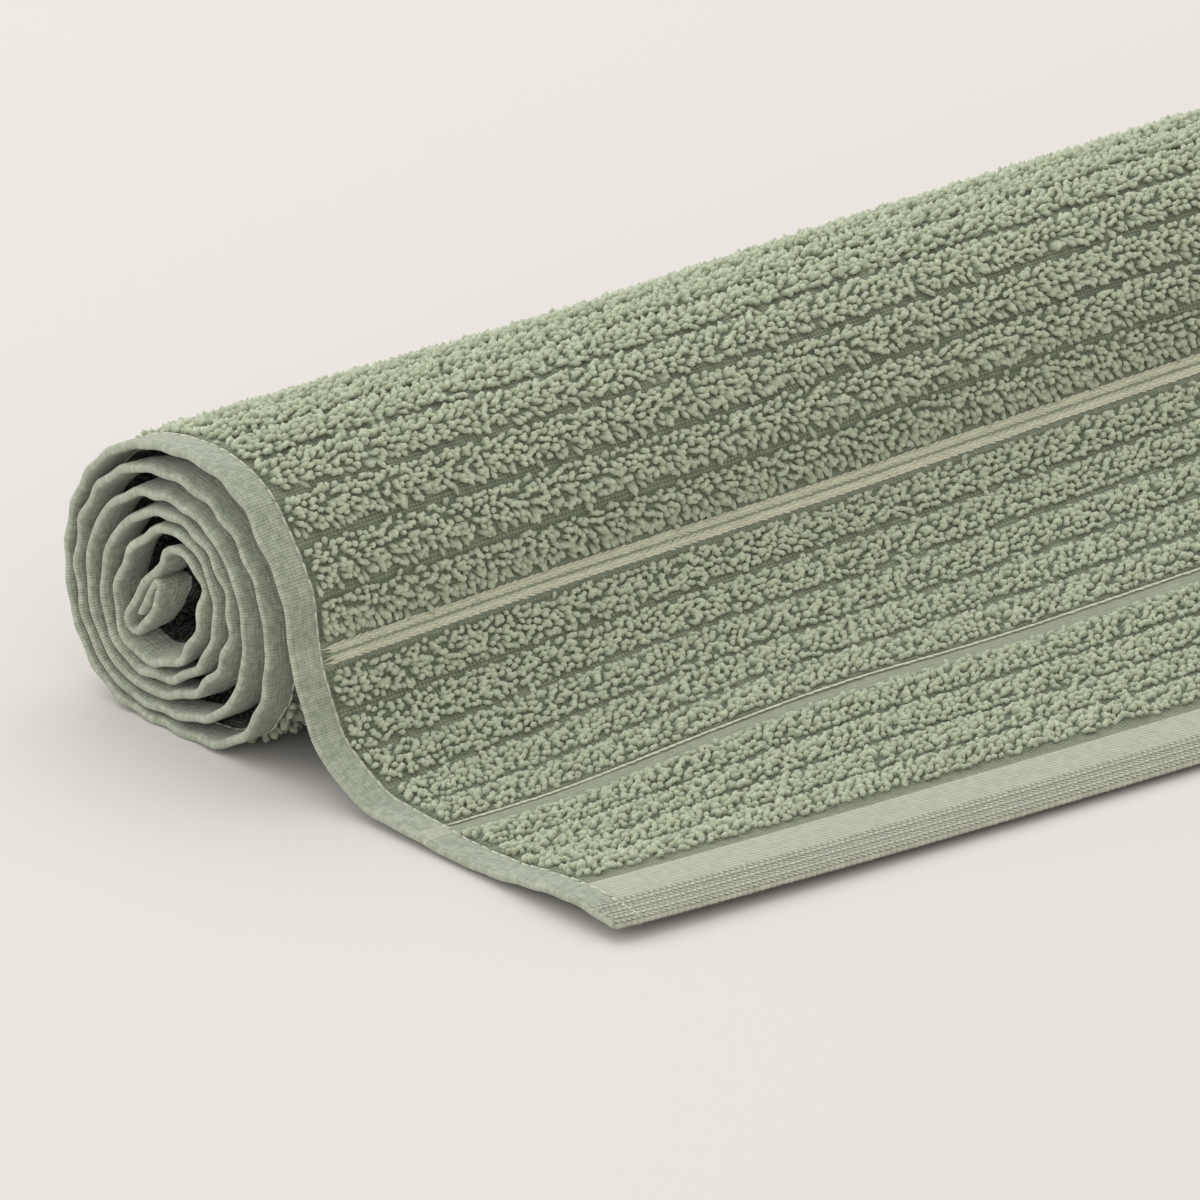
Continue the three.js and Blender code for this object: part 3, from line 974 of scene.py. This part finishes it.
def makeStripes(cream, green):
    s = stripeSettings
    across = np.arange(s["fromSide"], towel["width"] - s["fromSide"], s["spacing"])
    starts = {band["band"]: band for band in bands[:len(endPattern)]}
    double, thin = starts["doubleStripe"], starts["thinStripe"]
    middle = (double["start"] + double["end"]) / 2
    creamRows = [middle + row for row in s["creamRows"]]
    greenRows = [middle + row for row in s["greenRows"]]
    thinRows = [thin["end"] - s["thinRow"]]
    pieces = []
    for name, rows, size, lift, material in (
        ("creamStripes", creamRows, s["size"], s["lift"], cream),
        ("greenFloats", greenRows, s["thinSize"], s["lift"], green),
        ("thinStripe", thinRows, s["thinSize"], s["thinLift"], cream),
    ):
        numbers = range(len(rows))
        along = np.repeat(rows, len(across))
        shifts = [(k % s["stagger"]) * s["spacing"] / s["stagger"] for k in numbers]
        spread = np.concatenate([across + shift for shift in shifts])
        turn = np.repeat([s["skew"] * (1 if k % 2 else -1) for k in numbers], len(across))
        pieces.append(layStrands(
            name, along, spread, turn, lift, size, material, s["seed"], rise=s["rise"],
        ))
    print("stage: stripes")
    return pieces


stitchSettings = {
    "seed": 5,
    "start": 1.5,
    "inset": 0.1,
    "pitch": 2.6,
    "size": (0.46, 0.46, 3.1),
    "lift": 0.05,
}


def makeStitches(material):
    # A line of stitches along the inner side of each hem, on the roll's outside and the loose end.
    s = stitchSettings
    along = np.arange(s["start"], wound["turnEnd"], s["pitch"])
    near = clothSettings["hemWidth"] - s["inset"]
    far = towel["width"] - near
    pieces = []
    for name, across, isOuter in (
        ("nearHemStitch", near, True),
        ("farHemStitch", far, True),
        ("nearHemBackStitch", near, False),
        ("farHemBackStitch", far, False),
    ):
        spread = np.full(len(along), across)
        heading = np.full(len(along), 90.0)
        pieces.append(layStrands(
            name, along, spread, heading, s["lift"], s["size"], material, s["seed"], isOuter,
        ))
    print("stage: hem stitches")
    return pieces


borderSettings = {
    "seed": 3,
    "fromSide": 0.9,
    "closestToSide": 0.4,
    "rows": 7,
    "firstRow": 0.35,
    "rowPitch": 1.0,
    "cellPitch": 1.2,
    "size": (0.66, 0.34, 1.3),
    "lift": 0.05,
    "skew": 34.0,
    "rise": 3.0,
    "rimSeed": 4,
    "rimRow": 0.05,
    "rimSize": (0.5, 1.3, 1.7),
    "rimLift": -0.25,
}


def makeBorderCells(material):
    # The small slanted cells of the band at the very edge, and upright ones that close the edge.
    s = borderSettings
    rows = range(s["rows"])
    across = np.arange(s["fromSide"], towel["width"] - s["fromSide"], s["cellPitch"])
    along = np.repeat([s["firstRow"] + row * s["rowPitch"] for row in rows], len(across))
    spread = np.concatenate([across + (row % 2) * s["cellPitch"] / 2 for row in rows])
    spread = np.clip(spread, s["closestToSide"], towel["width"] - s["closestToSide"])
    heading = np.repeat([s["skew"] * (1 if row % 2 else -1) for row in rows], len(across))
    cells = layStrands(
        "endBorderCells", along, spread, heading, s["lift"], s["size"], material, s["seed"],
        rise=s["rise"],
    )
    edge = np.full(len(across), s["rimRow"])
    rim = layStrands(
        "endBorderRim", edge, across, np.zeros(len(across)), s["rimLift"], s["rimSize"], material,
        s["rimSeed"], rise=s["rise"],
    )
    print("stage: end border")
    return [cells, rim]


cameraSettings = {
    "azimuth": 50.5,
    "elevation": 22.5,
    "distance": 4.0,
    "lens": 708.0,
    "sensor": 36.0,
    "clipEnd": 50.0,
    "imageWidth": 1200.0,
    "aimPixel": (166.2, 590.0),
}


def makeCamera():
    # The near end of the roll's axis falls on its pixel of the 1200 by 1200 frame.
    s = cameraSettings
    azimuth, elevation = math.radians(s["azimuth"]), math.radians(s["elevation"])
    level = math.cos(elevation)
    forward = Vector((-math.sin(azimuth) * level, math.cos(azimuth) * level, -math.sin(elevation)))
    right = Vector((math.cos(azimuth), math.sin(azimuth), 0.0))
    up = right.cross(forward)
    aim = Vector((towel["axisX"], -towel["width"] / 2, towel["axisHeight"])) * mm
    perPixel = s["distance"] * s["sensor"] / (s["lens"] * s["imageWidth"])
    offRight = (s["aimPixel"][0] - s["imageWidth"] / 2) * perPixel
    offUp = (s["imageWidth"] / 2 - s["aimPixel"][1]) * perPixel
    place = aim - forward * s["distance"] - right * offRight - up * offUp
    data = bpy.data.cameras.new("photoCamera")
    data.lens = s["lens"]
    data.sensor_width = s["sensor"]
    data.clip_end = s["clipEnd"]
    camera = bpy.data.objects.new("photoCamera", data)
    turn = Matrix((right, up, -forward)).transposed()
    camera.matrix_world = Matrix.Translation(place) @ turn.to_4x4()
    bpy.context.scene.collection.objects.link(camera)
    bpy.context.scene.camera = camera


studio = {
    "floorColor": (210, 206, 201),
    "floorRoughness": 0.85,
    "floorSize": 12.0,
    "worldColor": (1.0, 0.985, 0.965, 1.0),
    "worldStrength": 0.82,
}
lights = {
    "keyLight": {"place": (-1.1, 0.1, 1.9), "size": 2.4, "power": 25.0},
    "fillLight": {"place": (-2.0, -2.0, 0.9), "size": 2.2, "power": 31.0},
    "sideLight": {"place": (1.9, -2.0, 0.7), "size": 2.4, "power": 14.0},
}


def makeLight(name, settings):
    data = bpy.data.lights.new(name, "AREA")
    data.size = settings["size"]
    data.energy = settings["power"]
    light = bpy.data.objects.new(name, data)
    light.location = settings["place"]
    light.rotation_mode = "QUATERNION"
    light.rotation_quaternion = (-Vector(settings["place"])).to_track_quat("-Z", "Y")
    bpy.context.scene.collection.objects.link(light)


def makeStudio():
    s = studio
    bm = bmesh.new()
    bmesh.ops.create_grid(bm, x_segments=1, y_segments=1, size=s["floorSize"] / 2)
    mesh = bpy.data.meshes.new("studioFloor")
    bm.to_mesh(mesh)
    bm.free()
    floor = bpy.data.objects.new("studioFloor", mesh)
    bpy.context.scene.collection.objects.link(floor)
    material, _, _ = newMaterial("paleFloor", linearColor(*s["floorColor"]), s["floorRoughness"], 0.0)
    mesh.materials.append(material)
    for name, settings in lights.items():
        makeLight(name, settings)
    world = bpy.data.worlds.new("studioWorld")
    world.use_nodes = True
    background = world.node_tree.nodes["Background"]
    background.inputs["Color"].default_value = s["worldColor"]
    background.inputs["Strength"].default_value = s["worldStrength"]
    bpy.context.scene.world = world
    bpy.context.scene.view_settings.view_transform = "Standard"


makeCamera()
makeStudio()
print("stage: camera and studio")

finishes = [makeFinish(name, dict(zip(finishColumns, row))) for name, row in finishRows.items()]
yarns = {name: makeYarn(name, dict(zip(yarnColumns, row))) for name, row in yarnRows.items()}
print("stage: materials")

cloth = makeCloth(finishes)
print("stage: cloth with", sum(len(face.vertices) - 2 for face in cloth.data.polygons), "triangles")

details = makePile(yarns["pileYarn"])
details += makeStripes(yarns["creamYarn"], yarns["greenYarn"])
details += makeStitches(yarns["hemThread"])
details.append(makeInnerPile(yarns["shadedInnerYarn"]))
details += makeBorderCells(yarns["borderYarn"])

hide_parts("towel")
for piece in [cloth] + details:
    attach(piece, "root")

total = sum(len(face.vertices) - 2 for piece in [cloth] + details for face in piece.data.polygons)
print("stage: all pieces with", total, "triangles")
